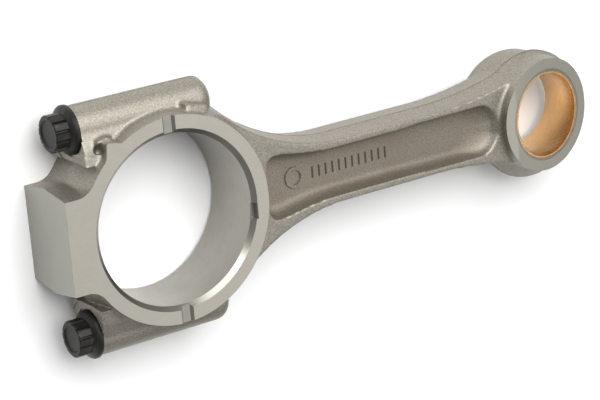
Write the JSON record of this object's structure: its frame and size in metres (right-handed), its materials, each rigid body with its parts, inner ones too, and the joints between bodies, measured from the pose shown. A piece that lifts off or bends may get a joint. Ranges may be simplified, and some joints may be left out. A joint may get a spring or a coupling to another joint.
{
  "type": "connecting rod",
  "caption": "Forged I-section connecting rod with a split, bolted big end, a balancing pad on the cap and a tapered small end with a bronze bush.",
  "frame": {"origin": "centre of the big-end bore at mid width", "axes": "+X along the rod to the small end, +Y to the upper cap bolt, +Z along the big-end bore axis, up as it lies flat on its side faces"},
  "size_m": [0.2854, 0.1114, 0.0354],
  "materials": {
    "forged_steel": "shot-peened forging with ground faces",
    "bearing_bronze": "fine bored",
    "black_bolt_steel": "black oxide"
  },
  "bodies": {
    "rod": {"rod_body": "forged_steel", "small_end_bush": "bearing_bronze"},
    "cap": {"big_end_cap": "forged_steel"},
    "bolt_upper": {"cap_bolt_upper": "black_bolt_steel"},
    "bolt_lower": {"cap_bolt_lower": "black_bolt_steel"}
  },
  "joints": [
    {"name": "cap_off", "type": "slide", "parent": "rod", "child": "cap", "axis": [-1, 0, 0], "range_m": [0, 0.06]},
    {"name": "bolt_upper_out", "type": "slide", "parent": "cap", "child": "bolt_upper", "axis": [-1, 0, 0], "range_m": [0, 0.07]},
    {"name": "bolt_lower_out", "type": "slide", "parent": "cap", "child": "bolt_lower", "axis": [-1, 0, 0], "range_m": [0, 0.07]}
  ]
}
